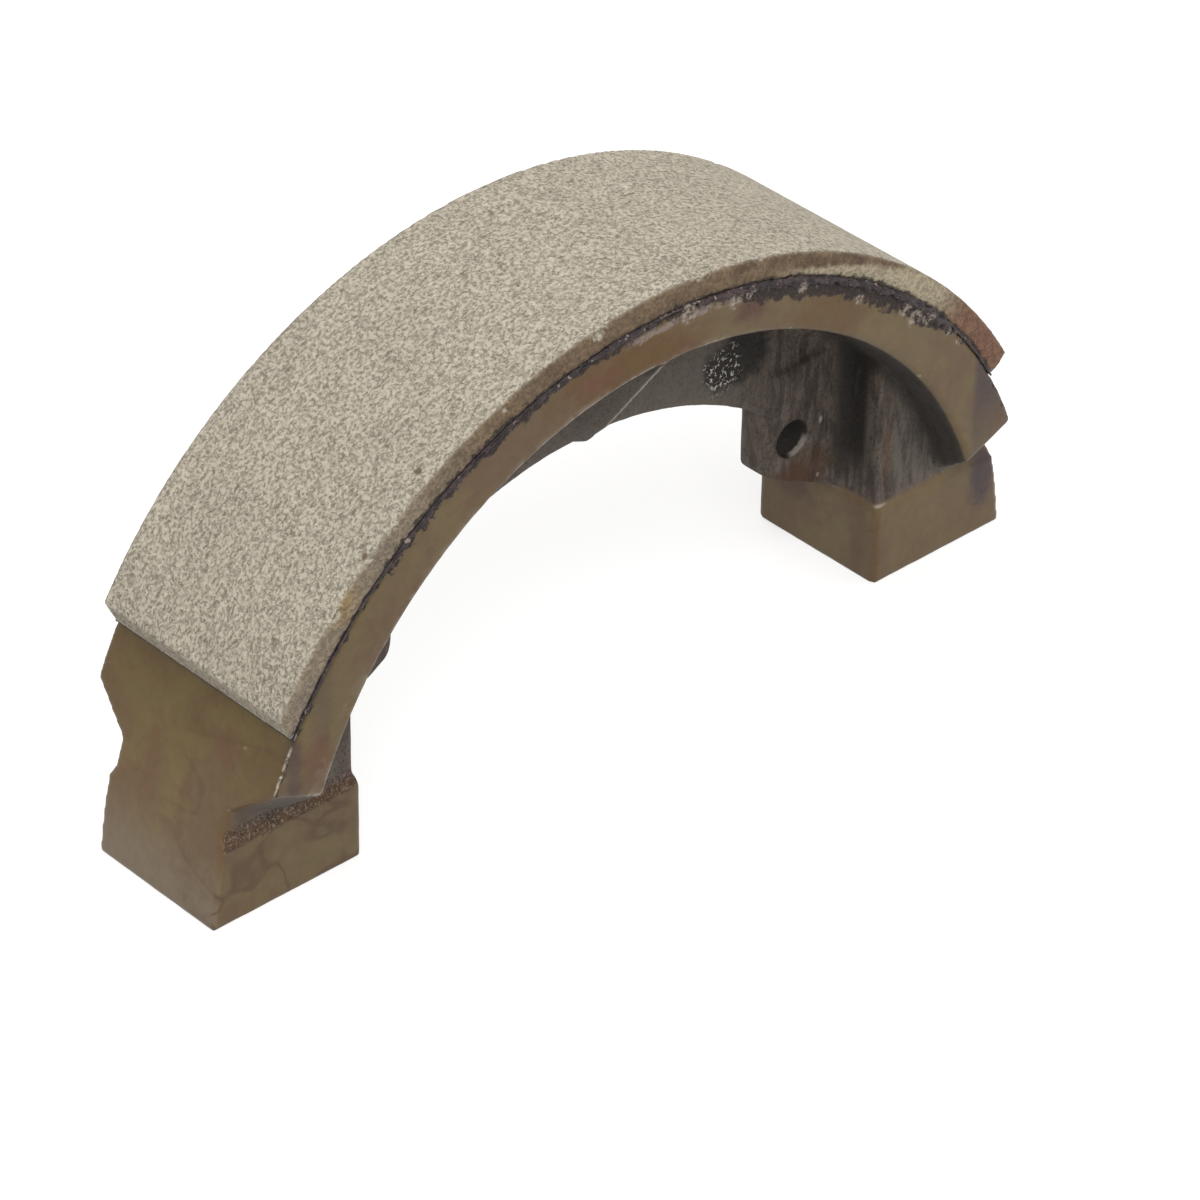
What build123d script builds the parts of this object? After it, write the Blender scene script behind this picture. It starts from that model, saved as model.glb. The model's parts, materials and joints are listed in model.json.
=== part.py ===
"""Drum brake shoe: one die casting with a T section, and a friction lining bonded to its rim.

Millimetres, +Z up. The shoe stands on the flat faces of its two feet at Z = 0. X runs along
the chord between the feet, Y along the drum's axis, and the origin is mid-way in both.
"""
import os
from math import cos, degrees, hypot, radians, sin, sqrt

from build123d import *

# ---- driving dimensions ------------------------------------------------------------------
drum_diameter = 110.0       # the drum that the shoe works in
running_gap = 0.2           # from lining to drum, brake applied lightly
axis_drop = 4.5             # the drum's axis lies this far below the feet

lining_thickness = 2.6
lining_left_angle = 60.7    # degrees from the crown to its end, where it meets the glue
lining_right_angle = 58.7
lining_lead_in = 1.7        # its left end slopes back by this much, along the drum
shoe_width = 25.5           # rim, glue and lining, along the drum's axis
glue_thickness = 0.15

rim_crown_thickness = 5.3
rim_end_thickness = 6.6     # the rim is thicker towards its ends
rim_half_angle = 66.9       # degrees, to where its corners are cut
rim_draft = 0.5             # it is this much thicker again at the web
rim_edge_chamfer = 0.4
shoulder_run = 3.9          # length of each cut corner, along the rim

web_thickness = 3.8
web_crown_height = 28.85    # its free edge, over the middle
web_edge_radius = 41.0      # the arch that the free edge follows
web_root_fillet = 1.8
web_edge_fillet = 0.5

plate_thickness = 5.0       # round the spring hole, proud of the web on both faces
plate_ledge_height = 26.2   # its top edge, where it leaves the neck
plate_ledge_fall = 1.0      # and this much lower at the nose
plate_nose_x = 23.9         # its upright free end
plate_nose_round = 2.1      # which is rounded across the plate's thickness
plate_root_fillet = 1.8     # where it leaves the neck
left_nose_height = 16.4     # where nose and lower edge would meet, unrounded
left_nose_fillet = 3.0
left_heel_height = 10.2     # where the lower edge meets the neck
right_nose_height = 13.85
right_nose_fillet = 1.8
right_heel_height = 8.9

spring_hole_diameter = 4.0
spring_hole_x = 27.5
spring_hole_rise = 5.1      # its centre over the plate's lower edge, straight below it
spring_hole_chamfer = 0.2

foot_inner_x = 33.8         # inner face of foot and neck
foot_width = 16.7
foot_height = 9.5
foot_ledge_fall = 1.2       # height of the slope between foot and neck
foot_fillet = 0.4
neck_width = 15.4           # between the foot and the rim
neck_fillet = 0.3
neck_setback = 0.4          # its inner face stands back from the foot's

gusset_width = 15.0         # crown gusset, across its base under the rim
gusset_tip_width = 9.0      # and at its lower end
gusset_tip_depth = 5.0      # its crest there, from the shoe's middle plane
gusset_tip_height = 31.6
gusset_keel_drop = 0.5      # below its tip it runs in to a keel under the web's free edge
gusset_keel_width = 5.0

# ---- worked out from them ----------------------------------------------------------------
lining_radius = drum_diameter / 2 - running_gap
glue_radius = lining_radius - lining_thickness
rim_radius = glue_radius - glue_thickness
clear = rim_crown_thickness  # how far a cutting tool reaches past what it cuts
tiny = 0.01                 # tolerance for picking points by their place

# the rim's underside is an arch through its crown and its ends, higher than the drum's axis
crown_under = rim_radius - rim_crown_thickness - axis_drop
end_under_x = (rim_radius - rim_end_thickness) * sin(radians(rim_half_angle))
end_under_z = (rim_radius - rim_end_thickness) * cos(radians(rim_half_angle)) - axis_drop
under_fall = crown_under - end_under_z
under_radius = (end_under_x**2 + under_fall**2) / (2 * under_fall)
under_axis_z = crown_under - under_radius

neck_inner_x = foot_inner_x + neck_setback
web_arch_z = web_crown_height - web_edge_radius
web_end_z = web_arch_z + sqrt(web_edge_radius**2 - neck_inner_x**2)
web_reach = hypot(neck_inner_x, web_end_z - under_axis_z) - clear
neck_top = sqrt((rim_radius - rim_crown_thickness / 2) ** 2 - foot_inner_x**2) - axis_drop
block_length = rim_radius + clear - foot_inner_x
plate_length = foot_inner_x + block_length - plate_nose_x

# each spring hole sits over its own plate's lower edge
hole_share = (spring_hole_x - plate_nose_x) / (neck_inner_x - plate_nose_x)
left_hole_z = left_nose_height + (left_heel_height - left_nose_height) * hole_share + spring_hole_rise
right_hole_z = right_nose_height + (right_heel_height - right_nose_height) * hole_share + spring_hole_rise

# the gusset's crest runs from its tip to the rim's lower edge, and on into the rim
gusset_top = crown_under + rim_crown_thickness / 2
gusset_slope = (shoe_width / 2 - gusset_tip_depth) / (crown_under - gusset_tip_height)
gusset_depth = gusset_tip_depth + gusset_slope * (gusset_top - gusset_tip_height)


def radial_plane(angle, axis_z):
    """Section through an axis along Y at height axis_z: local x is radial, local y is Y."""
    outward = Vector(sin(radians(angle)), 0, cos(radians(angle)))
    return Plane(origin=(0, 0, axis_z), x_dir=outward, z_dir=outward.cross(Vector(0, 1, 0)))


def shoulder_plane(end):
    """Plane on the rim where its corners start: local x points on towards that end's foot."""
    angle = radians(rim_half_angle)
    outward = Vector(end * sin(angle), 0, cos(angle))
    onward = Vector(end * cos(angle), 0, -sin(angle))
    return Plane(origin=outward * rim_radius - Vector(0, 0, axis_drop), x_dir=onward, z_dir=outward)


# ---- spring plates: one at each end, drawn in plan with its nose and roots rounded --------
with BuildPart() as spring_plates:
    with BuildSketch() as plan:
        for end, side in ((-1, Align.MAX), (1, Align.MIN)):
            with Locations((end * plate_nose_x, 0)):
                Rectangle(plate_length, plate_thickness, align=(side, Align.CENTER))
            with Locations((end * neck_inner_x, 0)):
                Rectangle(block_length, neck_width, align=(side, Align.CENTER))
        noses = plan.vertices().filter_by(lambda v: abs(v.X) < plate_nose_x + tiny)
        fillet(noses, plate_nose_round)
        at_necks = plan.vertices().filter_by(lambda v: abs(abs(v.X) - neck_inner_x) < tiny)
        fillet(at_necks.filter_by(lambda v: abs(v.Y) < neck_width / 2 - tiny), plate_root_fillet)
    extrude(amount=plate_ledge_height)

    # each is cut to its own lower edge, and to a top ledge that falls towards the nose
    for end, nose_height, nose_fillet, heel_height in (
        (-1, left_nose_height, left_nose_fillet, left_heel_height),
        (1, right_nose_height, right_nose_fillet, right_heel_height),
    ):
        with BuildSketch(Plane.XZ) as lower_edge:
            with BuildLine():
                Polyline(
                    (end * plate_nose_x, plate_ledge_height),
                    (end * plate_nose_x, nose_height),
                    (end * neck_inner_x, heel_height),
                    (end * neck_inner_x, -clear),
                    (end * (plate_nose_x - clear), -clear),
                    (end * (plate_nose_x - clear), plate_ledge_height),
                    close=True,
                )
            make_face()
            corner = lower_edge.vertices().filter_by(lambda v: abs(v.Y - nose_height) < tiny)
            fillet(corner, nose_fillet)
        extrude(amount=shoe_width, both=True, mode=Mode.SUBTRACT)
        with BuildSketch(Plane.XZ):
            with BuildLine():
                Polyline(
                    (end * plate_nose_x, plate_ledge_height - plate_ledge_fall),
                    (end * neck_inner_x, plate_ledge_height),
                    (end * neck_inner_x, plate_ledge_height + clear),
                    (end * plate_nose_x, plate_ledge_height + clear),
                    close=True,
                )
            make_face()
        extrude(amount=shoe_width, both=True, mode=Mode.SUBTRACT)

# ---- casting: rim, web, spring plates, necks and feet in one piece -----------------------
with BuildPart() as shoe_casting:
    # rim and web are a T section, turned about the axis of the rim's underside
    with BuildSketch(radial_plane(-90, under_axis_z)):
        with BuildLine():
            Polyline(
                (rim_radius + clear, 0),
                (rim_radius + clear, shoe_width / 2),
                (under_radius + rim_edge_chamfer, shoe_width / 2),
                (under_radius, shoe_width / 2 - rim_edge_chamfer),
                (under_radius - rim_draft, web_thickness / 2 + web_root_fillet),
                (under_radius - rim_draft - web_root_fillet, web_thickness / 2),
                (web_reach, web_thickness / 2),
                (web_reach, 0),
                close=True,
            )
        make_face()
        mirror(about=Plane.XZ)
    revolve(axis=Axis((0, 0, under_axis_z), (0, 1, 0)), revolution_arc=180)

    # each end of the rim narrows to the neck in two cut corners
    for end in (-1, 1):
        with BuildSketch(shoulder_plane(end)) as corners:
            for side in (-1, 1):
                with BuildLine():
                    Polyline(
                        (0, side * shoe_width / 2),
                        (shoulder_run, side * neck_width / 2),
                        (rim_radius, side * neck_width / 2),
                        (rim_radius, side * (shoe_width / 2 + clear)),
                        (0, side * (shoe_width / 2 + clear)),
                        close=True,
                    )
                make_face()
        extrude(amount=rim_radius / 2, both=True, mode=Mode.SUBTRACT)

    # the web's free edge is one arch, its edges rounded
    with BuildSketch(Plane.XZ):
        with BuildLine():
            ThreePointArc((-neck_inner_x, web_end_z), (0, web_crown_height), (neck_inner_x, web_end_z))
            Polyline(
                (neck_inner_x, web_end_z),
                (neck_inner_x, under_axis_z - rim_radius),
                (-neck_inner_x, under_axis_z - rim_radius),
                (-neck_inner_x, web_end_z),
            )
        make_face()
    extrude(amount=shoe_width, both=True, mode=Mode.SUBTRACT)
    free_edges = shoe_casting.edges().filter_by(GeomType.CIRCLE).filter_by(
        lambda edge: abs(edge.radius - web_edge_radius) < tiny
    )
    fillet(free_edges, web_edge_fillet)

    # the necks run on up into the rim, and slope out to feet that are a little wider
    for end, side in ((-1, Align.MAX), (1, Align.MIN)):
        with BuildSketch(Plane.XY.offset(foot_height)) as neck:
            with Locations((end * neck_inner_x, 0)):
                Rectangle(block_length, neck_width, align=(side, Align.CENTER))
            fillet(neck.vertices().group_by(SortBy.DISTANCE)[0], neck_fillet)
        extrude(amount=neck_top - foot_height)
        with BuildSketch() as foot:
            with Locations((end * foot_inner_x, 0)):
                Rectangle(block_length, foot_width, align=(side, Align.CENTER))
            fillet(foot.vertices().group_by(SortBy.DISTANCE)[0], foot_fillet)
        extrude(amount=foot_height - foot_ledge_fall)
        with BuildSketch(Plane.XY.offset(foot_height - foot_ledge_fall)):
            add(foot.sketch)
        with BuildSketch(Plane.XY.offset(foot_height)):
            add(neck.sketch_local)
        loft(ruled=True)

    add(spring_plates.part)

    # a roof-shaped gusset on each face of the web stiffens the crown, with a keel under it
    for level, width, depth in (
        (gusset_top, gusset_width, gusset_depth),
        (gusset_tip_height, gusset_tip_width, gusset_tip_depth),
        (web_crown_height - gusset_keel_drop, gusset_keel_width, web_thickness / 2),
    ):
        with BuildSketch(Plane.XY.offset(level)):
            Polygon((-width / 2, 0), (0, -depth), (width / 2, 0), (0, depth), align=None)
    loft(ruled=True)

    # the outside is turned to the rim's radius, from foot to foot
    with Locations((0, 0, -axis_drop)):
        Cylinder(rim_radius, shoe_width, rotation=(90, 0, 0), mode=Mode.INTERSECT)
    split(bisect_by=Plane.XY)

    # spring holes
    with BuildSketch(Plane.XZ):
        with Locations((-spring_hole_x, left_hole_z), (spring_hole_x, right_hole_z)):
            Circle(spring_hole_diameter / 2)
    extrude(amount=shoe_width, both=True, mode=Mode.SUBTRACT)
    rims = shoe_casting.edges().filter_by(GeomType.CIRCLE).filter_by(
        lambda edge: abs(edge.radius - spring_hole_diameter / 2) < tiny
    )
    chamfer(rims, spring_hole_chamfer)

shoe_casting.part.label = "shoe_casting"

# ---- friction lining, and the glue film under it -----------------------------------------
def on_arc(radius, angle):
    """Point in the X-Z plane on a circle about the drum's axis, at an angle from the crown."""
    return (radius * sin(radians(angle)), radius * cos(radians(angle)) - axis_drop)


lining_top_left = lining_left_angle - degrees(lining_lead_in / lining_radius)
glue_ends = (on_arc(glue_radius, -lining_left_angle), on_arc(glue_radius, lining_right_angle))
lining_ends = (on_arc(lining_radius, -lining_top_left), on_arc(lining_radius, lining_right_angle))
rim_ends = (on_arc(rim_radius, -lining_left_angle), on_arc(rim_radius, lining_right_angle))

with BuildPart() as friction_lining:
    with BuildSketch(Plane.XZ):
        with BuildLine():
            ThreePointArc(lining_ends[0], on_arc(lining_radius, 0), lining_ends[1])
            ThreePointArc(glue_ends[0], on_arc(glue_radius, 0), glue_ends[1])
            Line(lining_ends[0], glue_ends[0])
            Line(lining_ends[1], glue_ends[1])
        make_face()
    extrude(amount=shoe_width / 2, both=True)
friction_lining.part.label = "friction_lining"

with BuildPart() as adhesive_film:
    with BuildSketch(Plane.XZ):
        with BuildLine():
            ThreePointArc(glue_ends[0], on_arc(glue_radius, 0), glue_ends[1])
            ThreePointArc(rim_ends[0], on_arc(rim_radius, 0), rim_ends[1])
            Line(glue_ends[0], rim_ends[0])
            Line(glue_ends[1], rim_ends[1])
        make_face()
    extrude(amount=shoe_width / 2, both=True)
adhesive_film.part.label = "adhesive_film"

# ---- files -------------------------------------------------------------------------------
os.makedirs("parts", exist_ok=True)
for piece in (shoe_casting, friction_lining, adhesive_film):
    export_step(piece.part, f"parts/{piece.part.label}.step")
    print(piece.part.label, round(piece.part.volume), "mm3", piece.part.bounding_box())
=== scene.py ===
# Drum brake shoe: a lacquered die casting with a bonded friction lining
import json
import math
import bpy
from mathutils import Matrix, Vector

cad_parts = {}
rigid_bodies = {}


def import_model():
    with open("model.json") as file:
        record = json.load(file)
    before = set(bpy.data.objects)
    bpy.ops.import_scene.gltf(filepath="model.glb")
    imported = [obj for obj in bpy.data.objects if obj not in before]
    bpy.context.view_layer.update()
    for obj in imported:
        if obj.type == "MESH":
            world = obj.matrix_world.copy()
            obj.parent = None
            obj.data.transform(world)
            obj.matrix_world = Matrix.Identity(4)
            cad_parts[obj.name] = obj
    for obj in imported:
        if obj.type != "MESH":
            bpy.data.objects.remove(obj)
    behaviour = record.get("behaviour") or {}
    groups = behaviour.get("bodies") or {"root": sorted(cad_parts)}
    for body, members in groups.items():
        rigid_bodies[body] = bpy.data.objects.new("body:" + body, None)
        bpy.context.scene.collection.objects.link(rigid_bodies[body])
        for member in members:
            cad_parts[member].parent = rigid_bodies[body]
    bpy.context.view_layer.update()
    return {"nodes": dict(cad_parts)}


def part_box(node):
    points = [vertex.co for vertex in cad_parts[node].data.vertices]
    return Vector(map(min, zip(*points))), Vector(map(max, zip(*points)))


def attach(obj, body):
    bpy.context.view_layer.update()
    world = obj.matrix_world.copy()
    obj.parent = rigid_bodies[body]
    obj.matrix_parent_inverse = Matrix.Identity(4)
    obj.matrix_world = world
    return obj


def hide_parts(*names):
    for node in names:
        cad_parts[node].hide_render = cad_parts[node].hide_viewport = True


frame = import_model()
mm = 0.001
weldDistance = 0.002 * mm

shoe = {
    "drumAxisDrop": 4.5 * mm,      # the drum's axis, below the feet
    "liningLeftAngle": -60.7,      # degrees from the crown, where the glue ends
    "liningRightAngle": 58.7,
    "springHoles": ((-27.5, 19.33), (27.5, 17.22)),   # x and z of their centres, in millimetres
}
shoe["halfWidth"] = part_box("friction_lining")[1][1]
shoe["glueRadius"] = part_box("adhesive_film")[1][2] + shoe["drumAxisDrop"]


view = {
    "place": (-304.65 * mm, -328.34 * mm, 318.06 * mm),
    "azimuth": -43.232,            # degrees, round the shoe
    "elevation": 34.581,
    "roll": 1.076,
    "lens": 168.14,
}

ground = {
    "size": 3.0,
    "colour": (0.5, 0.5, 0.5, 1),
    "roughness": 0.9,
    "shine": 0.1,
    "glow": 0.62,                  # added where the eye meets it, so that it shows white
}

light = {
    "worldStrength": 0.62,
    "worldColour": (1.0, 0.985, 0.96, 1),
    "aimedAt": (0, 0, 0.02),
    "key": {"place": (-0.55, -0.55, 0.95), "size": 0.7, "power": 7.5},
    "fill": {"place": (0.75, -0.6, 0.45), "size": 0.8, "power": 2.4},
    "back": {"place": (0.2, 0.8, 0.7), "size": 0.8, "power": 3.0},
}


def makeCamera():
    az, el, roll = (math.radians(view[key]) for key in ("azimuth", "elevation", "roll"))
    back = Vector((math.sin(az) * math.cos(el), -math.cos(az) * math.cos(el), math.sin(el)))
    right = Vector((math.cos(az), math.sin(az), 0.0))
    up = back.cross(right)
    rolledRight = right * math.cos(roll) + up * math.sin(roll)
    rolledUp = up * math.cos(roll) - right * math.sin(roll)
    bpy.ops.object.camera_add()
    camera = bpy.context.object
    camera.data.lens = view["lens"]
    turn = Matrix((rolledRight, rolledUp, back)).transposed().to_4x4()
    camera.matrix_world = Matrix.Translation(view["place"]) @ turn
    bpy.context.scene.camera = camera
    bpy.context.scene.view_settings.view_transform = "Standard"


def makeLights():
    for name in ("key", "fill", "back"):
        lamp = light[name]
        aim = Vector(lamp["place"]) - Vector(light["aimedAt"])
        turn = aim.to_track_quat("Z", "Y").to_euler()
        bpy.ops.object.light_add(type="AREA", location=lamp["place"], rotation=turn)
        bpy.context.object.name = name + "Light"
        bpy.context.object.data.size = lamp["size"]
        bpy.context.object.data.energy = lamp["power"]
    world = bpy.data.worlds.new("studio")
    bpy.context.scene.world = world
    world.use_nodes = True
    tree = world.node_tree
    background = tree.nodes["Background"]
    background.inputs["Color"].default_value = light["worldColour"]
    strength = scaled(tree, seenByEye(tree), light["worldStrength"], 1.0)
    tree.links.new(strength, background.inputs["Strength"])


def makeFloor():
    bpy.ops.mesh.primitive_plane_add(size=ground["size"])
    floor = bpy.context.object
    floor.name = "floor"
    material = bpy.data.materials.new("paleFloor")
    material.use_nodes = True
    tree = material.node_tree
    shader = tree.nodes["Principled BSDF"]
    shader.inputs["Base Color"].default_value = ground["colour"]
    shader.inputs["Roughness"].default_value = ground["roughness"]
    shader.inputs["Specular IOR Level"].default_value = ground["shine"]
    shader.inputs["Emission Color"].default_value = (1, 1, 1, 1)
    tree.links.new(scaled(tree, seenByEye(tree), 0.0, ground["glow"]), shader.inputs["Emission Strength"])
    floor.data.materials.append(material)


def feed(tree, socket, value):
    if isinstance(value, bpy.types.NodeSocket):
        tree.links.new(value, socket)
    elif isinstance(value, tuple) and len(value) == 3 and socket.type == "RGBA":
        socket.default_value = (*value, 1)
    else:
        socket.default_value = value


def calc(tree, operation, a, b=0.0, c=0.0):
    node = tree.nodes.new("ShaderNodeMath")
    node.operation = operation
    for socket, value in zip(node.inputs, (a, b, c)):
        feed(tree, socket, value)
    return node.outputs[0]


def product(tree, *factors):
    total = factors[0]
    for factor in factors[1:]:
        total = calc(tree, "MULTIPLY", total, factor)
    return total


def scaled(tree, value, low, high, fromLow=0.0, fromHigh=1.0, kind="SMOOTHSTEP"):
    node = tree.nodes.new("ShaderNodeMapRange")
    node.interpolation_type = kind
    values = {"Value": value, "From Min": fromLow, "From Max": fromHigh, "To Min": low, "To Max": high}
    for name, number in values.items():
        feed(tree, node.inputs[name], number)
    return node.outputs["Result"]


def rise(tree, value, low, high):
    return scaled(tree, value, 0.0, 1.0, low, high)


def fall(tree, value, low, high):
    return scaled(tree, value, 1.0, 0.0, low, high)


def between(tree, value, low, high, soft):
    start = rise(tree, value, low - soft, low + soft)
    return product(tree, start, fall(tree, value, high - soft, high + soft))


def tint(tree, amount, first, second, mode="MIX"):
    node = tree.nodes.new("ShaderNodeMix")
    node.data_type = "RGBA"
    node.blend_type = mode
    feed(tree, node.inputs[0], amount)
    feed(tree, node.inputs[6], first)
    feed(tree, node.inputs[7], second)
    return node.outputs[2]


def grainAt(tree, point, scale, detail=2.0, roughness=0.5, distortion=0.0):
    node = tree.nodes.new("ShaderNodeTexNoise")
    feed(tree, node.inputs["Vector"], point)
    values = {"Scale": scale, "Detail": detail, "Roughness": roughness, "Distortion": distortion}
    for name, value in values.items():
        feed(tree, node.inputs[name], value)
    return node.outputs["Fac"]


def stretched(tree, point, factors):
    node = tree.nodes.new("ShaderNodeVectorMath")
    node.operation = "MULTIPLY"
    feed(tree, node.inputs[0], point)
    node.inputs[1].default_value = factors
    return node.outputs[0]


def seenByEye(tree):
    path = tree.nodes.new("ShaderNodeLightPath")
    either = calc(tree, "MAXIMUM", path.outputs["Is Camera Ray"], path.outputs["Is Glossy Ray"])
    return calc(tree, "MAXIMUM", either, path.outputs["Is Transmission Ray"])


def newGroup(name, inputs, outputs):
    group = bpy.data.node_groups.new(name, "ShaderNodeTree")
    for label, kind, value in inputs:
        socket = group.interface.new_socket(name=label, in_out="INPUT", socket_type="NodeSocket" + kind)
        socket.default_value = value
    for label, kind in outputs:
        group.interface.new_socket(name=label, in_out="OUTPUT", socket_type="NodeSocket" + kind)
    return group, group.nodes.new("NodeGroupInput"), group.nodes.new("NodeGroupOutput")


def useGroup(tree, group, **values):
    node = tree.nodes.new("ShaderNodeGroup")
    node.node_tree = group
    for name, value in values.items():
        feed(tree, node.inputs[name], value)
    return node


def onSeam(angle, radius, y):
    # a point at an angle from the crown and a radius from the drum's axis
    turn = math.radians(angle)
    return Vector((radius * math.sin(turn), y, radius * math.cos(turn) - shoe["drumAxisDrop"]))


def makeShoePlace():
    # where a point lies on the shoe, in millimetres and degrees
    group, _, result = newGroup(
        "shoePlace", [],
        [("Point", "Vector"), ("X", "Float"), ("Y", "Float"), ("Z", "Float"), ("Reach", "Float"),
         ("Side", "Float"), ("Radius", "Float"), ("Angle", "Float")])
    coordinates = group.nodes.new("ShaderNodeTexCoord")
    point = stretched(group, coordinates.outputs["Object"], (1 / mm, 1 / mm, 1 / mm))
    parts = group.nodes.new("ShaderNodeSeparateXYZ")
    feed(group, parts.inputs[0], point)
    x, y, z = parts.outputs
    height = calc(group, "ADD", z, shoe["drumAxisDrop"] / mm)
    radius = calc(group, "SQRT", calc(group, "ADD", product(group, x, x), product(group, height, height)))
    angle = calc(group, "DEGREES", calc(group, "ARCTAN2", x, height))
    reach = calc(group, "ABSOLUTE", x)
    side = calc(group, "ABSOLUTE", y)
    values = {"Point": point, "X": x, "Y": y, "Z": z, "Reach": reach, "Side": side,
              "Radius": radius, "Angle": angle}
    for name, value in values.items():
        feed(group, result.inputs[name], value)
    return group


def makeStain():
    # a soft blot round a centre, with a ragged edge
    group, source, result = newGroup(
        "stain",
        [("Point", "Vector", (0, 0, 0)), ("Centre", "Vector", (0, 0, 0)), ("Size", "Vector", (5, 5, 5)),
         ("Softness", "Float", 0.5), ("Raggedness", "Float", 0.5)],
        [("Mask", "Float")])
    away = group.nodes.new("ShaderNodeVectorMath")
    away.operation = "SUBTRACT"
    feed(group, away.inputs[0], source.outputs["Point"])
    feed(group, away.inputs[1], source.outputs["Centre"])
    shaped = group.nodes.new("ShaderNodeVectorMath")
    shaped.operation = "DIVIDE"
    feed(group, shaped.inputs[0], away.outputs[0])
    feed(group, shaped.inputs[1], source.outputs["Size"])
    length = group.nodes.new("ShaderNodeVectorMath")
    length.operation = "LENGTH"
    feed(group, length.inputs[0], shaped.outputs[0])
    ragged = grainAt(group, source.outputs["Point"], 0.45, 4.0, 0.6)
    shift = product(group, calc(group, "SUBTRACT", ragged, 0.5), source.outputs["Raggedness"], 2.0)
    edge = calc(group, "ADD", length.outputs["Value"], shift)
    inner = calc(group, "SUBTRACT", 1.0, source.outputs["Softness"])
    feed(group, result.inputs["Mask"], fall(group, edge, inner, 1.0))
    return group


def makeEdgeWear():
    # sharp edges rubbed bare in places
    group, source, result = newGroup(
        "edgeWear",
        [("Point", "Vector", (0, 0, 0)), ("Amount", "Float", 0.5), ("Low", "Float", 0.53),
         ("High", "Float", 0.58)],
        [("Mask", "Float")])
    geometry = group.nodes.new("ShaderNodeNewGeometry")
    sharp = rise(group, geometry.outputs["Pointiness"], source.outputs["Low"], source.outputs["High"])
    patches = grainAt(group, source.outputs["Point"], 0.35, 5.0, 0.65)
    limit = calc(group, "SUBTRACT", 0.75, product(group, source.outputs["Amount"], 0.5))
    kept = rise(group, patches, limit, calc(group, "ADD", limit, 0.12))
    feed(group, result.inputs["Mask"], product(group, sharp, kept))
    return group


def makeSpecks():
    # scattered short flecks
    group, source, result = newGroup(
        "specks",
        [("Point", "Vector", (0, 0, 0)), ("Scale", "Float", 1.5), ("Low", "Float", 0.55),
         ("High", "Float", 0.65)],
        [("Mask", "Float")])
    fine = grainAt(group, source.outputs["Point"], source.outputs["Scale"], 3.0, 0.62, 0.3)
    feed(group, result.inputs["Mask"], rise(group, fine, source.outputs["Low"], source.outputs["High"]))
    return group


groups = {
    "place": makeShoePlace(),
    "stain": makeStain(),
    "wear": makeEdgeWear(),
    "specks": makeSpecks(),
}


def stainAt(tree, point, centre, size, softness):
    blot = useGroup(tree, groups["stain"], Point=point, Centre=centre, Size=size, Softness=softness)
    return blot.outputs["Mask"]


def specksAt(tree, point, scale, low, high):
    specks = useGroup(tree, groups["specks"], Point=point, Scale=scale, Low=low, High=high)
    return specks.outputs["Mask"]


def highest(tree, *masks):
    top = masks[0]
    for mask in masks[1:]:
        top = calc(tree, "MAXIMUM", top, mask)
    return top


def startMaterial(name):
    material = bpy.data.materials.new(name)
    material.use_nodes = True
    tree = material.node_tree
    return material, tree, tree.nodes["Principled BSDF"], useGroup(tree, groups["place"]).outputs


def finishSurface(tree, shader, colour, roughness, height, depth, metal, shine):
    feed(tree, shader.inputs["Base Color"], colour)
    feed(tree, shader.inputs["Roughness"], roughness)
    feed(tree, shader.inputs["Metallic"], metal)
    shader.inputs["Specular IOR Level"].default_value = shine
    bump = tree.nodes.new("ShaderNodeBump")
    bump.inputs["Distance"].default_value = depth
    feed(tree, bump.inputs["Height"], height)
    feed(tree, shader.inputs["Normal"], bump.outputs["Normal"])


glue = {
    "dark": (0.020, 0.013, 0.015),
    "violet": (0.066, 0.043, 0.045),
    "pale": (0.36, 0.30, 0.26),
    "flecks": (
        # angle, radius and size in degrees and millimetres
        (2.9, 51.2, 1.4), (9.7, 50.9, 1.1), (11.8, 51.3, 0.8), (20.0, 51.2, 0.8), (30.0, 50.4, 0.8),
        (38.6, 51.0, 1.1), (40.8, 50.7, 1.3), (43.0, 51.2, 1.0), (47.3, 51.5, 0.7), (50.0, 51.5, 0.6),
    ),
    # angles from the crown between which it has run
    "thickRun": (8.0, 46.0),
    "thinRun": (-26.0, 6.0),
    "drip": (-5.0, 9.0),
    "patches": (-42.0, -18.0),
    "dripRadius": (50.6, 51.4),    # in millimetres
    "bumpDepth": 0.3 * mm,
}

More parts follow.
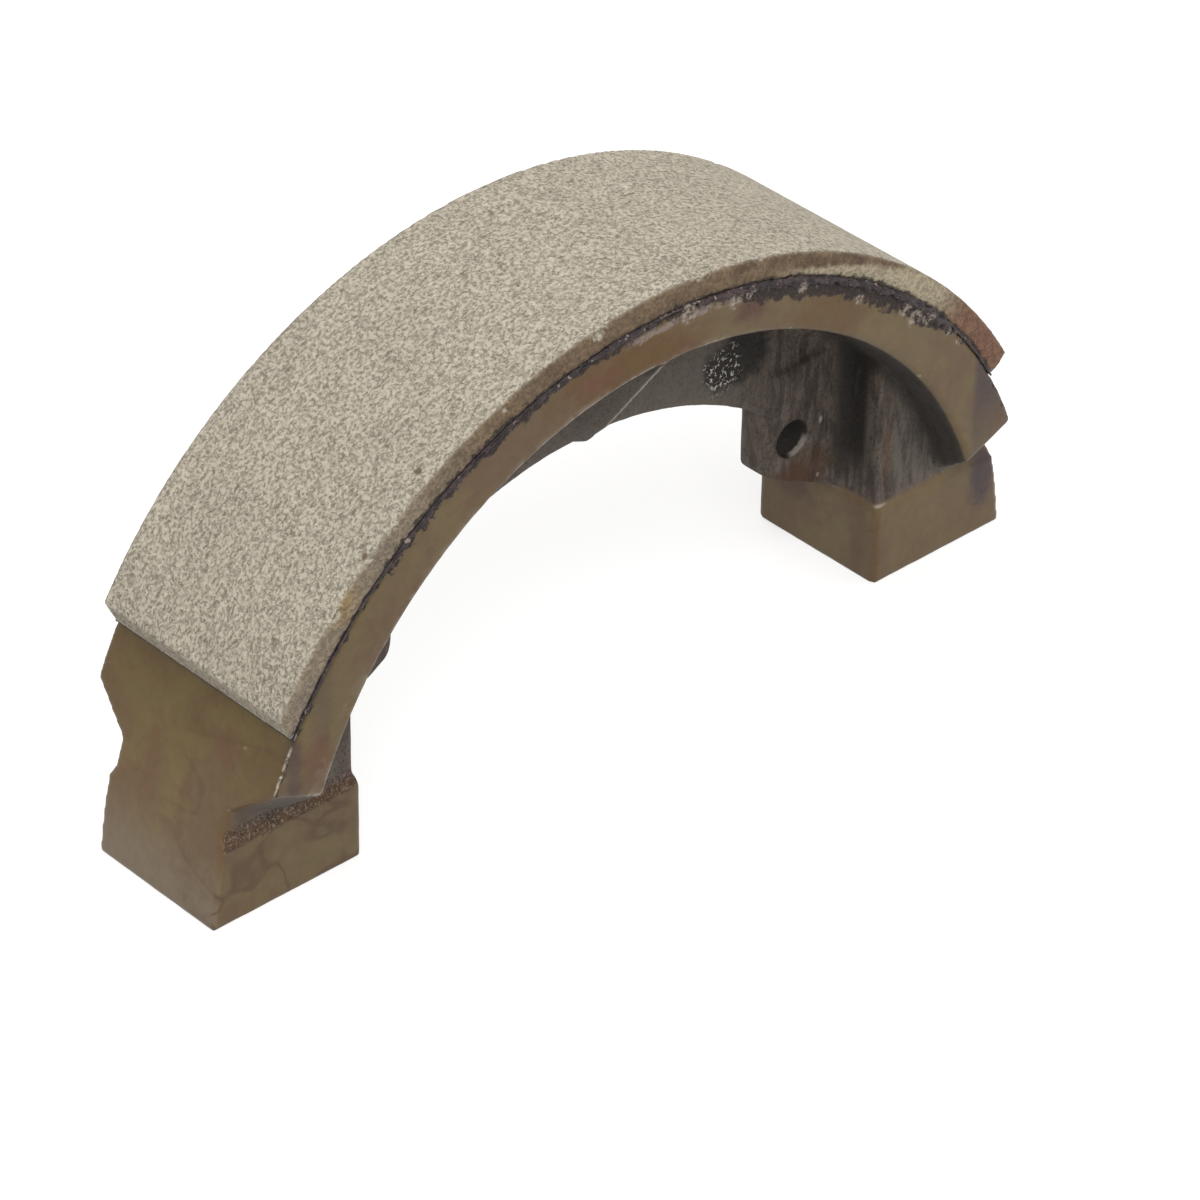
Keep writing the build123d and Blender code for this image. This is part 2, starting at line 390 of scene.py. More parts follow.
casting = {
    "tan": (0.180, 0.133, 0.086),
    "olive": (0.134, 0.094, 0.040),
    "brown": (0.120, 0.074, 0.036),
    "golden": (0.100, 0.047, 0.007),
    "red": (0.118, 0.043, 0.022),
    "rust": (0.082, 0.033, 0.018),
    "dark": (0.068, 0.032, 0.015),
    "neck": (0.156, 0.134, 0.113),
    "grey": (0.130, 0.104, 0.086),
    "pocket": (0.090, 0.069, 0.056),
    "nearBlack": (0.014, 0.011, 0.009),
    "violet": (0.044, 0.026, 0.029),
    "smear": (0.25, 0.20, 0.175),
    "bareAndHighlight": (0.50, 0.45, 0.38),
    "glint": (0.70, 0.66, 0.60),
    # what the colour is multiplied by on the drum face, paler and in painted shade under the lining, and for
    # mottling
    "drumPaler": (1.14, 1.12, 1.0),
    "drumShadeUnderLining": (0.74, 0.76, 0.62),
    "mottleLow": (0.80, 0.79, 0.78),
    "mottleHigh": (1.20, 1.20, 1.20),
    "bumpDepth": 0.12 * mm,
    "stains": (
        # colour, centre and size in millimetres, strength
        ("brown", (-49.0, -5.0, 9.0), (6.0, 4.4, 14.0), 0.75),
        ("red", (-49.0, 3.0, 12.0), (5.0, 1.8, 8.0), 0.25),
        ("red", (-47.2, -5.7, 17.5), (4.0, 2.0, 2.6), 0.40),
        ("red", (-49.5, -1.9, 11.6), (4.0, 1.1, 7.0), 0.30),
        ("red", (-42.4, -12.8, 17.5), (3.0, 1.6, 4.2), 0.60),
        ("violet", (-45.4, -12.8, 17.5), (1.3, 1.6, 6.5), 0.55),
        ("violet", (-42.0, -12.8, 25.0), (2.0, 1.6, 7.0), 0.30),
        ("golden", (-4.0, -12.8, 44.0), (13.0, 2.0, 5.0), 0.90),
        ("golden", (21.0, -12.8, 39.0), (9.0, 2.0, 6.0), 0.60),
        ("olive", (9.0, -12.8, 42.6), (3.4, 2.0, 3.0), 0.80),
        ("rust", (11.2, -12.8, 44.2), (3.6, 1.6, 2.4), 0.95),
        ("red", (-9.0, -12.8, 43.6), (4.4, 1.6, 1.6), 0.50),
        ("red", (2.0, -12.8, 43.2), (3.0, 1.6, 0.9), 0.40),
        ("red", (35.5, -7.7, 15.0), (0.7, 1.6, 6.0), 0.40),
        ("violet", (49.0, -8.4, 7.0), (2.6, 1.6, 5.6), 0.95),
        ("violet", (47.4, -9.0, 11.5), (3.2, 3.0, 3.6), 0.90),
        ("dark", (-45.2, -8.4, 6.4), (2.2, 1.6, 1.5), 0.30),
        ("dark", (28.5, -2.6, 12.2), (5.4, 2.4, 4.2), 0.85),
        ("dark", (-35.4, -8.4, 4.8), (2.2, 1.6, 3.0), 0.25),
        ("dark", (33.8, -6.0, 5.0), (1.6, 2.4, 6.0), 0.45),
        ("dark", (33.8, 3.5, 6.5), (1.6, 4.2, 2.2), 0.65),
        ("bareAndHighlight", (31.2, -2.5, 18.1), (0.4, 1.4, 0.6), 0.60),
        ("bareAndHighlight", (31.1, -2.5, 11.6), (0.3, 1.4, 0.4), 0.45),
        # a painted glint on the near inner corner of one foot's top
        ("bareAndHighlight", (34.2, -8.2, 9.0), (1.8, 0.8, 0.25), 0.50),
    ),
    "sparklePatch": ((19.8, -2.0, 29.4), (5.4, 3.0, 3.8)),
    "sparkles": ((17.6, -2.0, 28.6), (3.8, 3.0, 3.9)),
    "zones": {
        # where finishes start and end, in millimetres and degrees: drum face and rim
        "rimNearSide": (-12.7, -12.5),
        "drumFace": (51.4, 51.8),
        "paleFootHeight": (1.5, 9.0),
        "shadeHeight": (8.0, 22.0),
        "chippedAngle": (-62.0, -61.0),
        "chippedRadius": (51.75, 51.9),
        "chippedSide": (12.45, 12.6),
        "lipSide": (12.4, 12.7),
        "lipRadius": (47.5, 47.9),
        "lipAlong": (5.0, 12.0),
        # pockets between rim, web and feet
        "pocketSide": (12.2, 12.6),
        "pocketHeight": (8.9, 9.5),
        "pocketRadius": (50.6, 51.2),
        "lighterMiddle": (15.0, 24.0),
        "lighterEnds": (35.4, 37.0),
        "darkEnd": (22.0, 26.0),
        "cornerAlong": (32.7, 34.8),
        "cornerSide": (2.6, 6.0),
        "cornerHeight": (9.0, 15.0),
        "underRimRadius": (44.2, 45.4),
        "underRimHeight": (10.0, 12.0),
        "underRimAlong": (-20.0, 15.0),
        "crestReach": (0.10, 0.24),
        "crestSide": (4.9, 12.2),
        "crestRadius": (46.9, 47.2),
        # spring holes
        "bore": (2.02, 2.18),
        "plateSide": (2.5, 2.7),
        "nearMouth": (-1.4, -1.0),
        "mouthEdge": (1.3, 1.9),
        # feet and cut corners
        "tideFootAlong": (-33.0, -32.0),
        "tideFootHeight": (8.0, 9.0),
        "tideFootSide": (-8.1, -7.8),
        "tideFaceRadius": (51.5, 51.8),
        "tideFaceSide": (-1.0, 2.0),
        "tideFaceAlong": (-40.0, -39.0),
        "sprayAlong": (41.6, 42.9),
        "spraySide": (8.6, 9.2),
        "sprayHeight": (10.0, 13.0),
        "spraySlope": (-6.0, 5.0),
        "ledgeHeight": (8.2, 10.0),
        "ledgeSide": (7.5, 7.7),
        "ledgeAlong": (-31.0, -30.0),
        "ledgeRadius": (51.6, 51.9),
    },
}


def stained(tree, colour, point, palette):
    for name, centre, size, strength in palette["stains"]:
        blot = stainAt(tree, point, centre, size, 0.75)
        colour = tint(tree, product(tree, blot, strength), colour, palette[name])
    return colour


def castingPockets(tree, at, lacquer):
    # bare casting between rim, web and feet: speckled, lighter at the middle and the ends, with dark runs in
    # one end's corners, and painted shade in the corner by that end's neck and under the rim
    point, zone = at["Point"], casting["zones"]
    inside = product(tree,
                     fall(tree, at["Side"], *zone["pocketSide"]),
                     rise(tree, at["Z"], *zone["pocketHeight"]),
                     fall(tree, at["Radius"], *zone["pocketRadius"]))
    runs = grainAt(tree, stretched(tree, point, (1.4, 1.4, 0.3)), 0.55, 5.0, 0.7, 0.5)
    grit = grainAt(tree, stretched(tree, point, (1.0, 1.0, 0.7)), 3.0, 4.0, 0.75)
    pocket = tint(tree, rise(tree, runs, 0.40, 0.62), casting["pocket"], casting["grey"])
    lighterParts = highest(tree,
                   fall(tree, at["Reach"], *zone["lighterMiddle"]),
                   rise(tree, at["Reach"], *zone["lighterEnds"]))
    pocket = tint(tree, product(tree, lighterParts, 0.75), pocket, casting["neck"])
    sooty = product(tree, fall(tree, grit, 0.32, 0.52), scaled(tree, lighterParts, 0.7, 0.4))
    pocket = tint(tree, sooty, pocket, casting["nearBlack"])
    pocket = tint(tree, product(tree, rise(tree, grit, 0.60, 0.74), 0.4), pocket, casting["smear"])
    dark = product(tree, fall(tree, runs, 0.34, 0.56), rise(tree, at["X"], *zone["darkEnd"]), 0.6)
    pocket = tint(tree, dark, pocket, casting["nearBlack"])
    # painted shade in the corner by one end's neck, broken up by the runs and grit
    corner = product(tree,
                     between(tree, at["X"], *zone["cornerAlong"], 0.5),
                     between(tree, at["Side"], *zone["cornerSide"], 0.6),
                     rise(tree, at["Z"], *zone["cornerHeight"]),
                     rise(tree, runs, 0.25, 0.45),
                     rise(tree, grit, 0.25, 0.45))
    pocket = tint(tree, corner, pocket, casting["nearBlack"])
    # painted shade under the rim
    under = product(tree,
                    rise(tree, at["Radius"], *zone["underRimRadius"]),
                    rise(tree, at["Z"], *zone["underRimHeight"]),
                    rise(tree, at["X"], *zone["underRimAlong"]), 0.8)
    pocket = tint(tree, under, pocket, casting["nearBlack"])
    return tint(tree, inside, lacquer, pocket), inside, grit


def springHoleShadeAndHighlight(tree, at, colour):
    # painted shade inside the bores, with a painted highlight in a crescent on the lit wall by the near
    # mouth
    zone = casting["zones"]
    for x, z in shoe["springHoles"]:
        right = calc(tree, "SUBTRACT", at["X"], x)
        up = calc(tree, "SUBTRACT", at["Z"], z)
        away = calc(tree, "SQRT", calc(tree, "ADD", product(tree, right, right), product(tree, up, up)))
        # painted shade inside the bore
        bore = product(tree, fall(tree, away, *zone["bore"]), fall(tree, at["Side"], *zone["plateSide"]))
        colour = tint(tree, product(tree, bore, 0.95), colour, casting["nearBlack"])
        slope = calc(tree, "SUBTRACT", product(tree, right, 0.60), product(tree, up, 0.80))
        lumps = product(tree, grainAt(tree, at["Point"], 1.0, 3.0, 0.6), 1.2)
        # painted highlight on the lit wall by the near mouth
        mouth = product(tree, bore,
                        fall(tree, calc(tree, "ADD", at["Y"], lumps), *zone["nearMouth"]),
                        rise(tree, slope, *zone["mouthEdge"]))
        colour = tint(tree, product(tree, mouth, 0.55), colour, casting["bareAndHighlight"])
    return colour


def castingTideLines(tree, at, colour):
    # dark wavy lines where lacquer has run on one foot and on the drum face above it
    zone = casting["zones"]
    field = grainAt(tree, stretched(tree, at["Point"], (1.0, 0.4, 1.0)), 0.17, 1.5, 0.4, 0.5)
    line = fall(tree, calc(tree, "ABSOLUTE", calc(tree, "SUBTRACT", field, 0.5)), 0.0, 0.045)
    foot = product(tree,
                   fall(tree, at["X"], *zone["tideFootAlong"]),
                   fall(tree, at["Z"], *zone["tideFootHeight"]),
                   fall(tree, at["Y"], *zone["tideFootSide"]), 0.6)
    face = product(tree,
                   rise(tree, at["Radius"], *zone["tideFaceRadius"]),
                   fall(tree, at["Y"], *zone["tideFaceSide"]),
                   fall(tree, at["X"], *zone["tideFaceAlong"]), 0.25)
    return tint(tree, product(tree, line, highest(tree, foot, face)), colour, casting["dark"])


def castingOverspray(tree, at, colour, cloudy):
    # violet overspray on the cut corners of one end
    zone = casting["zones"]
    end = product(tree,
                  rise(tree, at["X"], *zone["sprayAlong"]),
                  rise(tree, at["Side"], *zone["spraySide"]),
                  rise(tree, at["Z"], *zone["sprayHeight"]))
    slope = calc(tree, "SUBTRACT", at["Z"], product(tree, at["X"], 0.5))
    slope = calc(tree, "ADD", slope, product(tree, cloudy, 8.0))
    strength = scaled(tree, slope, 0.15, 1.0, *zone["spraySlope"])
    return tint(tree, product(tree, end, strength, 0.85), colour, casting["violet"])


def paleFlecks(tree, at):
    # blobs of pale glue along the thick seam
    blobs = []
    for angle, radius, size in glue["flecks"]:
        centre = onSeam(angle, radius * mm, -shoe["halfWidth"]) / mm
        blobs.append(stainAt(tree, at["Point"], centre, (size, 1.5, size), 0.5))
    crumbled = rise(tree, grainAt(tree, at["Point"], 2.4, 3.0, 0.65), 0.44, 0.56)
    return product(tree, highest(tree, *blobs), crumbled)


def seamPatches(tree, at):
    # where dark glue has spread in patches to both sides of the seam
    patches = rise(tree, grainAt(tree, at["Point"], 1.1, 3.0, 0.6), 0.44, 0.54)
    return product(tree, between(tree, at["Angle"], *glue["patches"], 2.5), patches)


def castingGlue(tree, at, colour, fine):
    # glue that has run over the near side of the rim, under the seam
    seam = shoe["glueRadius"] / mm
    lumps = grainAt(tree, at["Point"], 0.7, 4.0, 0.6)
    ragged = product(tree, calc(tree, "SUBTRACT", lumps, 0.5), 3.2)
    depth = calc(tree, "ADD", calc(tree, "SUBTRACT", seam, at["Radius"]), ragged)
    thick = product(tree, between(tree, at["Angle"], *glue["thickRun"], 6.0), 1.7)
    thin = product(tree, between(tree, at["Angle"], *glue["thinRun"], 3.0), 0.6)
    reach = highest(tree, thick, thin, product(tree, seamPatches(tree, at), 0.75))
    onSide = fall(tree, at["Y"], *casting["zones"]["rimNearSide"])
    run = product(tree, onSide, fall(tree, calc(tree, "SUBTRACT", depth, reach), 0.0, 0.5))
    colour = tint(tree, product(tree, run, 0.92), colour, casting["nearBlack"])
    patchy = grainAt(tree, at["Point"], 2.2, 4.0, 0.7)
    colour = tint(tree, product(tree, run, rise(tree, patchy, 0.48, 0.58), 0.9), colour, casting["violet"])
    colour = tint(tree, product(tree, run, rise(tree, patchy, 0.62, 0.68), 0.8), colour, casting["smear"])
    band = calc(tree, "ADD", at["Radius"], product(tree, ragged, 0.5))
    drip = product(tree, onSide,
                   between(tree, at["Angle"], *glue["drip"], 1.5),
                   between(tree, band, *glue["dripRadius"], 0.2),
                   rise(tree, fine, 0.42, 0.52))
    colour = tint(tree, product(tree, drip, 0.75), colour, casting["smear"])
    return tint(tree, product(tree, onSide, paleFlecks(tree, at), 0.85), colour, glue["pale"]), run


def castingLacquer(tree, at, cloudy):
    # brown and olive clouds; the drum face is paler towards the feet and has painted shade under the lining
    point, zone = at["Point"], casting["zones"]
    lacquer = tint(tree, rise(tree, cloudy, 0.40, 0.60), casting["brown"], casting["olive"])
    blots = rise(tree, grainAt(tree, point, 0.2, 5.0, 0.65, 1.0), 0.56, 0.68)
    lacquer = tint(tree, product(tree, blots, 0.3), lacquer, casting["red"])
    drumFace = rise(tree, at["Radius"], *zone["drumFace"])
    lacquer = tint(tree, drumFace, lacquer, tint(tree, 1.0, lacquer, casting["drumPaler"], "MULTIPLY"))
    pale = product(tree, drumFace, fall(tree, at["Z"], *zone["paleFootHeight"]))
    lacquer = tint(tree, pale, lacquer, casting["tan"])
    # painted shade of the lining over the upper drum face
    shade = product(tree, drumFace, rise(tree, at["Z"], *zone["shadeHeight"]))
    return tint(tree, shade, lacquer, tint(tree, 1.0, lacquer, casting["drumShadeUnderLining"], "MULTIPLY"))


def rubbedEdgesAndHighlights(tree, at, inside, fine):
    # where the lacquer is gone: sharp edges and the rim's end; painted highlights along the rim's lip and
    # the gusset's crest
    point, zone = at["Point"], casting["zones"]
    sharp = useGroup(tree, groups["wear"], Point=point, Amount=0.4, Low=0.57, High=0.66).outputs["Mask"]
    wear = product(tree, sharp, scaled(tree, inside, 1.0, 0.25))
    chipped = product(tree,
                      fall(tree, at["Angle"], *zone["chippedAngle"]),
                      rise(tree, at["Radius"], *zone["chippedRadius"]),
                      rise(tree, at["Side"], *zone["chippedSide"]),
                      rise(tree, fine, 0.38, 0.5))
    # painted highlight along the rim's inner lip
    lip = product(tree,
                  between(tree, at["Side"], *zone["lipSide"], 0.08),
                  fall(tree, at["Radius"], *zone["lipRadius"]),
                  fall(tree, at["X"], *zone["lipAlong"]),
                  rise(tree, grainAt(tree, point, 0.5, 3.0, 0.6), 0.46, 0.56), 0.7)
    # painted highlight along the gusset's crest
    crest = product(tree,
                    fall(tree, at["Reach"], *zone["crestReach"]),
                    between(tree, at["Side"], *zone["crestSide"], 0.3),
                    fall(tree, at["Radius"], *zone["crestRadius"]), 0.8)
    return highest(tree, wear, chipped, lip, crest)


def makeCastingMaterial():
    material, tree, shader, at = startMaterial("lacqueredCasting")
    point, zone = at["Point"], casting["zones"]
    cloudy = grainAt(tree, point, 0.11, 4.0, 0.6, 0.6)
    fine = grainAt(tree, point, 0.9, 5.0, 0.65)
    colour, inside, grit = castingPockets(tree, at, castingLacquer(tree, at, cloudy))
    colour = castingOverspray(tree, at, colour, cloudy)
    colour = stained(tree, colour, point, casting)
    colour = castingTideLines(tree, at, colour)
    colour = springHoleShadeAndHighlight(tree, at, colour)
    colour, run = castingGlue(tree, at, colour, fine)
    # fine mottling over all, then rubbed edges and painted highlights
    mottling = tint(tree, fine, casting["mottleLow"], casting["mottleHigh"])
    colour = tint(tree, 1.0, colour, mottling, "MULTIPLY")
    bareAndHighlight = rubbedEdgesAndHighlights(tree, at, inside, fine)
    colour = tint(tree, product(tree, bareAndHighlight, 0.75), colour, casting["bareAndHighlight"])
    # a rough patch beside the crown gusset, partly dark deposit and partly painted shade of its recess, with
    # painted glints; and gritty ledges on one foot
    patch = stainAt(tree, point, *casting["sparklePatch"], 0.45)
    glints = specksAt(tree, point, 2.1, 0.54, 0.59)
    sparkling = stainAt(tree, point, *casting["sparkles"], 0.6)
    recessShadeAndGlints = tint(tree, product(tree, glints, sparkling), casting["nearBlack"], casting["glint"])
    colour = tint(tree, product(tree, patch, 0.95), colour, recessShadeAndGlints)
    ledge = product(tree,
                    between(tree, at["Z"], *zone["ledgeHeight"], 0.2),
                    rise(tree, at["Side"], *zone["ledgeSide"]),
                    fall(tree, at["X"], *zone["ledgeAlong"]),
                    fall(tree, at["Radius"], *zone["ledgeRadius"]))
    gravel = tint(tree, specksAt(tree, point, 4.2, 0.50, 0.62), casting["dark"], casting["smear"])
    colour = tint(tree, product(tree, ledge, 0.65), colour, gravel)
    rough = highest(tree, patch, ledge)
    roughness = scaled(tree, highest(tree, inside, run, rough), 0.42, 0.72)
    height = calc(tree, "ADD", product(tree, fine, 0.4), product(tree, grit, inside, 1.2))
    height = calc(tree, "ADD", height, product(tree, glints, rough, 2.0))
    height = calc(tree, "ADD", height, product(tree, fine, run, 2.0))
    metal = product(tree, bareAndHighlight, 0.5)
    finishSurface(tree, shader, colour, roughness, height, casting["bumpDepth"], metal, 0.3)
    return material


lining = {
    "face": (0.485, 0.436, 0.346),
    "dark": (0.150, 0.127, 0.092),
    "pale": (0.66, 0.62, 0.53),
    "edge": (0.180, 0.125, 0.075),
    "edgeDark": (0.118, 0.078, 0.050),
    "flax": (0.43, 0.37, 0.26),
    "ochre": (0.30, 0.205, 0.09),
    "red": (0.20, 0.105, 0.068),
    "nearBlack": (0.016, 0.012, 0.014),
    "pits": ((-28.9, -10.9, 42.1), (-36.2, -12.0, 36.7)),
    "pitSize": (0.5, 0.5, 0.5),
    "ochreStain": ((-40.0, -12.7, 33.5), (3.0, 2.0, 3.2)),
    # what the colour is multiplied by, for clouds and for specks
    "cloudDarker": (0.88, 0.88, 0.88),
    "cloudPaler": (1.16, 1.16, 1.16),
    "speckPaler": (1.15, 1.15, 1.15),
    "speckDarker": (0.75, 0.75, 0.75),
    # where its finishes start and end, in millimetres and degrees
    "sideFace": (12.4, 12.66),
    "paleAngle": (-42.0, -20.0),
    "flaxAngle": (18.0, 45.0),
    "flaxGrowth": (18.0, 42.0),
    "flaxWidth": (0.9, 2.5),
    "redAngle": (42.0, 50.0),
    "bumpDepth": 0.08 * mm,
}


def liningSide(tree, at, dark):
    # its sides are browned, paler again over the thick glue and redder at one end
    point = at["Point"]
    soft = grainAt(tree, point, 0.3, 5.0, 0.65, 0.8)
    seam = shoe["glueRadius"] / mm
    edge = tint(tree, rise(tree, soft, 0.42, 0.66), lining["edge"], lining["edgeDark"])
    paler = product(tree, fall(tree, at["Angle"], *lining["paleAngle"]), 0.28)
    edge = tint(tree, paler, edge, lining["face"])
    width = scaled(tree, at["Angle"], *lining["flaxWidth"], *lining["flaxGrowth"])
    height = calc(tree, "SUBTRACT", calc(tree, "ADD", at["Radius"], soft), width)
    flax = product(tree, between(tree, at["Angle"], *lining["flaxAngle"], 4.0),
                   fall(tree, height, seam + 0.2, seam + 0.9))
    edge = tint(tree, product(tree, flax, 0.85), edge, lining["flax"])
    redder = product(tree, rise(tree, at["Angle"], *lining["redAngle"]), rise(tree, soft, 0.30, 0.50), 0.85)
    edge = tint(tree, redder, edge, lining["red"])
    ochre = stainAt(tree, point, *lining["ochreStain"], 0.8)
    edge = tint(tree, product(tree, ochre, 0.8), edge, lining["ochre"])
    # sooty just over the seam
    ragged = product(tree, calc(tree, "SUBTRACT", grainAt(tree, point, 0.8, 4.0, 0.6), 0.5), 2.0)
    spread = calc(tree, "ADD", at["Radius"], ragged)
    spread = calc(tree, "SUBTRACT", spread, product(tree, seamPatches(tree, at), 0.4))
    low = fall(tree, spread, seam + 0.1, seam + 0.5)
    edge = tint(tree, product(tree, low, 0.85), edge, lining["nearBlack"])
    specks = tint(tree, dark, lining["speckPaler"], lining["speckDarker"])
    return tint(tree, 1.0, edge, specks, "MULTIPLY")


def makeLiningMaterial():
    material, tree, shader, at = startMaterial("frictionCompound")
    point = at["Point"]
    dark = specksAt(tree, point, 2.7, 0.42, 0.66)
    deep = specksAt(tree, stretched(tree, point, (1.0, 1.4, 1.0)), 1.5, 0.55, 0.66)
    pale = specksAt(tree, stretched(tree, point, (1.3, 1.0, 1.3)), 3.7, 0.53, 0.66)
    face = tint(tree, product(tree, dark, 0.7), lining["face"], lining["dark"])
    face = tint(tree, product(tree, deep, 0.8), face, lining["dark"])
    face = tint(tree, product(tree, pale, 0.55), face, lining["pale"])
    clouds = tint(tree, grainAt(tree, point, 0.12, 5.0, 0.65), lining["cloudDarker"], lining["cloudPaler"])
    face = tint(tree, 1.0, face, clouds, "MULTIPLY")
    for centre in lining["pits"]:
        pit = stainAt(tree, point, centre, lining["pitSize"], 0.6)
        face = tint(tree, product(tree, pit, 0.85), face, lining["edgeDark"])
    side = rise(tree, at["Side"], *lining["sideFace"])
    colour = tint(tree, side, face, liningSide(tree, at, dark))
    wear = useGroup(tree, groups["wear"], Point=point, Amount=1.0).outputs["Mask"]
    colour = tint(tree, product(tree, wear, 0.45), colour, lining["pale"])
    height = calc(tree, "SUBTRACT", 1.0, highest(tree, dark, deep))
    finishSurface(tree, shader, colour, 0.88, height, lining["bumpDepth"], 0.0, 0.4)
    return material


def makeGlueMaterial():
    material, tree, shader, at = startMaterial("curedGlue")
    point = at["Point"]
    lumps = grainAt(tree, point, 1.1, 5.0, 0.7)
    colour = tint(tree, rise(tree, lumps, 0.44, 0.60), glue["dark"], glue["violet"])
    crumbs = specksAt(tree, point, 1.3, 0.62, 0.67)
    colour = tint(tree, product(tree, crumbs, 0.8), colour, glue["pale"])
    colour = tint(tree, product(tree, paleFlecks(tree, at), 0.85), colour, glue["pale"])
    finishSurface(tree, shader, colour, scaled(tree, lumps, 0.4, 0.75), lumps, glue["bumpDepth"], 0.0, 0.4)
    return material


def aloneSelected(obj):
    bpy.ops.object.select_all(action="DESELECT")
    obj.select_set(True)
    bpy.context.view_layer.objects.active = obj


def addModifier(obj, kind, **settings):
    aloneSelected(obj)
    bpy.ops.object.modifier_add(type=kind)
    modifier = obj.modifiers[-1]
    for name, value in settings.items():
        setattr(modifier, name, value)
    return modifier


def applyAll(obj):
    aloneSelected(obj)
    for modifier in list(obj.modifiers):
        bpy.ops.object.modifier_apply(modifier=modifier.name)


def copyOfNode(nodeName, pieceName):
    aloneSelected(frame["nodes"][nodeName])
    bpy.ops.object.duplicate()
    piece = bpy.context.object
    bpy.ops.object.parent_clear(type="CLEAR_KEEP_TRANSFORM")
    piece.name = pieceName
    piece.data.name = pieceName
    bpy.ops.object.mode_set(mode="EDIT")
    bpy.ops.mesh.select_all(action="SELECT")
    bpy.ops.mesh.remove_doubles(threshold=weldDistance)
    bpy.ops.object.mode_set(mode="OBJECT")
    return piece


def softenEdges(piece, size, smoothing, keep):
    addModifier(piece, "REMESH", mode="VOXEL", voxel_size=size, use_smooth_shade=True)
    addModifier(piece, "SMOOTH", factor=0.5, iterations=smoothing)
    addModifier(piece, "DECIMATE", ratio=keep)
    applyAll(piece)


def cloudsAt(name, size):
    texture = bpy.data.textures.new(name, "CLOUDS")
    texture.noise_scale = size
    return texture


def roughen(piece, mesh):
    # slight waves all over, and chips bitten out of the edges
    chips = piece.vertex_groups.new(name="chips")
    for vertex in piece.data.vertices:
        depth = 0.0
        for centre, reach, bite in mesh["chips"]:
            near = 1 - (vertex.co - Vector(centre) * mm).length / (reach * mm)
            depth = max(depth, near * bite)
        if depth > 0:
            chips.add([vertex.index], min(1.0, depth), "REPLACE")
    waves = cloudsAt(piece.name + "Waves", mesh["waveSize"])
    addModifier(piece, "DISPLACE", texture=waves, texture_coords="GLOBAL",
                strength=mesh["waviness"], mid_level=0.5)
    bites = cloudsAt(piece.name + "Bites", mesh["biteSize"])
    addModifier(piece, "DISPLACE", texture=bites, texture_coords="GLOBAL", vertex_group="chips",
                strength=-mesh["biteDepth"], mid_level=0.1)
    applyAll(piece)


def shapedCopy(nodeName, pieceName, mesh, material):
    # a CAD node's copy, with soft edges, an uneven skin and its chips
    piece = copyOfNode(nodeName, pieceName)
    softenEdges(piece, mesh["voxel"], mesh["smoothing"], mesh["keep"])
    roughen(piece, mesh)
    piece.data.materials.clear()
    piece.data.materials.append(material)
    return piece


castingMesh = {
    "voxel": 0.26 * mm,
    "smoothing": 12,
    "keep": 0.42,
    "waviness": 0.07 * mm,
    "waveSize": 2.2 * mm,
    "biteSize": 0.5 * mm,
    "biteDepth": 2.6 * mm,
    "chips": (
        # centre, reach and depth in millimetres
        ((-47.1, -12.7, 20.2), 0.7, 0.5), ((-47.9, -12.7, 18.6), 0.6, 0.4), ((-48.5, -12.7, 16.6), 0.8, 0.6),
        ((-50.9, -8.3, 8.4), 0.7, 0.5), ((-51.3, -8.3, 6.6), 0.6, 0.4), ((-51.6, -8.3, 4.9), 0.6, 0.4),
    ),
}

liningMesh = {
    "voxel": 0.30 * mm,
    "smoothing": 3,
    "keep": 0.6,
    "waviness": 0.05 * mm,
    "waveSize": 0.6 * mm,
    "biteSize": 0.5 * mm,
    "biteDepth": 2.6 * mm,
    "chips": (
        ((-40.2, -12.7, 32.2), 1.0, 0.7), ((-33.0, -12.7, 39.0), 0.8, 0.5), ((-8.6, -12.7, 48.9), 1.0, 0.6),
        ((4.0, -12.7, 50.2), 0.8, 0.5), ((-36.0, -12.7, 36.5), 0.6, 0.4), ((12.0, -12.7, 48.8), 0.6, 0.4),
        ((-47.9, 12.7, 22.2), 0.8, 0.5), ((-20.0, -12.7, 45.6), 0.6, 0.4), ((46.6, -12.7, 23.6), 0.7, 0.5),
        ((30.0, 12.7, 41.2), 0.7, 0.5),
    ),
}


def dressCasting(material):
    piece = shapedCopy("shoe_casting", "lacqueredShoe", castingMesh, material)
    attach(piece, "root")
    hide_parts("shoe_casting")
    print("casting", len(piece.data.polygons), "faces")


def dressLining(material):
    piece = shapedCopy("friction_lining", "pressedLining", liningMesh, material)
    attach(piece, "root")
    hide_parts("friction_lining")
    print("lining", len(piece.data.polygons), "faces")


def dressFilm(material):
    film = frame["nodes"]["adhesive_film"]
    film.data.materials.clear()
    film.data.materials.append(material)


bead = {
    "thickness": 0.15 * mm,        # radius of the squeezed-out bead
    "sides": 10,
    "steps": 520,
    "stepsSpan": 120,              # degrees that so many steps cover
    "sunk": 0.08 * mm,             # below the lining's inner face
    "inset": 0.05 * mm,            # behind the side faces
    "swell": 0.55,
    "lumps": 0.30 * mm,            # how uneven it is
    "lumpSize": 0.7 * mm,
    "crusts": (
        # where more glue came out, on the near side: name, both angles, thickness, lumps and drop
        ("glueCrust", 4.0, 47.0, 0.42 * mm, 1.1 * mm, 0.25 * mm),
        ("glueCrumbs", -42.0, -2.0, 0.22 * mm, 0.9 * mm, 0.20 * mm),
    ),
}


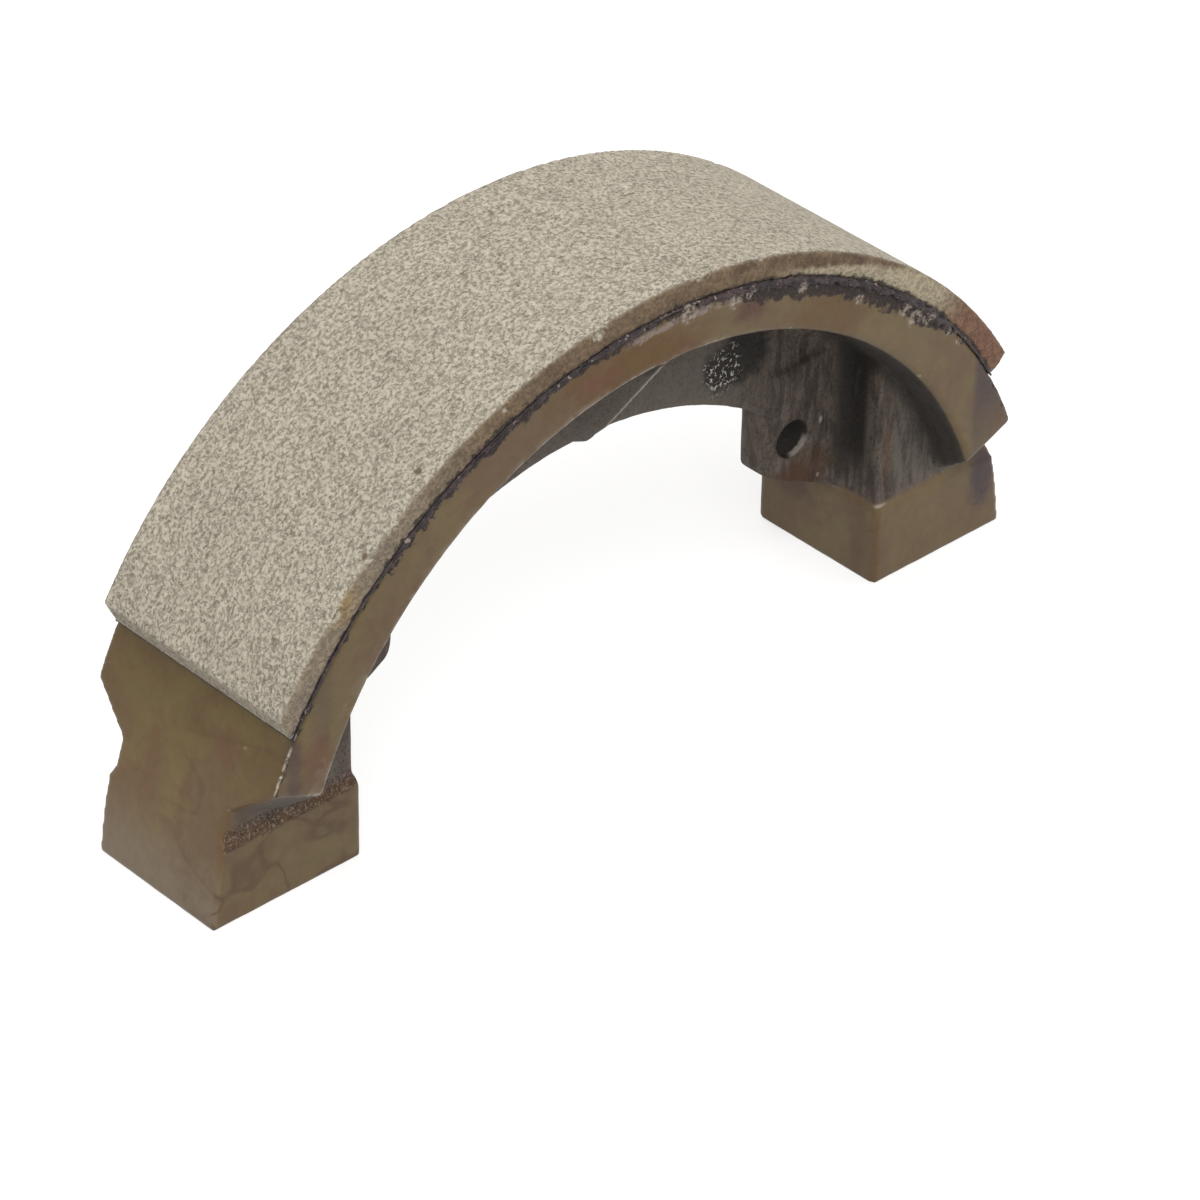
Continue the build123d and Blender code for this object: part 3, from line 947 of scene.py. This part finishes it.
def makeBead(name, y, fromAngle, toAngle, thickness, lumps, drop, material):
    start = onSeam(fromAngle, shoe["glueRadius"] - bead["sunk"] - drop, y)
    bpy.ops.object.select_all(action="DESELECT")
    bpy.ops.mesh.primitive_circle_add(vertices=bead["sides"], radius=thickness, fill_type="NOTHING",
                                      location=start, rotation=(0, math.radians(90 + fromAngle), 0))
    piece = bpy.context.object
    piece.name = name
    bpy.ops.object.transform_apply(location=True, rotation=True, scale=True)
    bpy.ops.object.mode_set(mode="EDIT")
    bpy.ops.mesh.select_all(action="SELECT")
    steps = int(bead["steps"] * (toAngle - fromAngle) / bead["stepsSpan"])
    bpy.ops.mesh.spin(steps=steps, angle=math.radians(fromAngle - toAngle),
                      center=(0, 0, -shoe["drumAxisDrop"]), axis=(0, 1, 0))
    bpy.ops.mesh.select_all(action="DESELECT")
    bpy.ops.mesh.select_non_manifold()
    bpy.ops.mesh.edge_face_add()
    bpy.ops.mesh.select_all(action="SELECT")
    bpy.ops.mesh.normals_make_consistent(inside=False)
    bpy.ops.object.mode_set(mode="OBJECT")
    texture = cloudsAt(name + "Lumps", bead["lumpSize"])
    addModifier(piece, "DISPLACE", texture=texture, texture_coords="GLOBAL",
                strength=lumps, mid_level=bead["swell"])
    applyAll(piece)
    bpy.ops.object.shade_smooth()
    piece.data.materials.append(material)
    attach(piece, "root")


def makeBeads(material):
    left, right = shoe["liningLeftAngle"], shoe["liningRightAngle"]
    y = shoe["halfWidth"] - bead["inset"]
    makeBead("glueBeadNear", -y, left, right, bead["thickness"], bead["lumps"], 0.0, material)
    makeBead("glueBeadFar", y, left, right, bead["thickness"], bead["lumps"], 0.0, material)
    for name, fromAngle, toAngle, thickness, lumps, drop in bead["crusts"]:
        makeBead(name, -y, fromAngle, toAngle, thickness, lumps, drop, material)
    print("glue beads made")


makeCamera()
makeLights()
makeFloor()
print("view and light ready")
glueMaterial = makeGlueMaterial()
dressCasting(makeCastingMaterial())
dressLining(makeLiningMaterial())
dressFilm(glueMaterial)
makeBeads(glueMaterial)
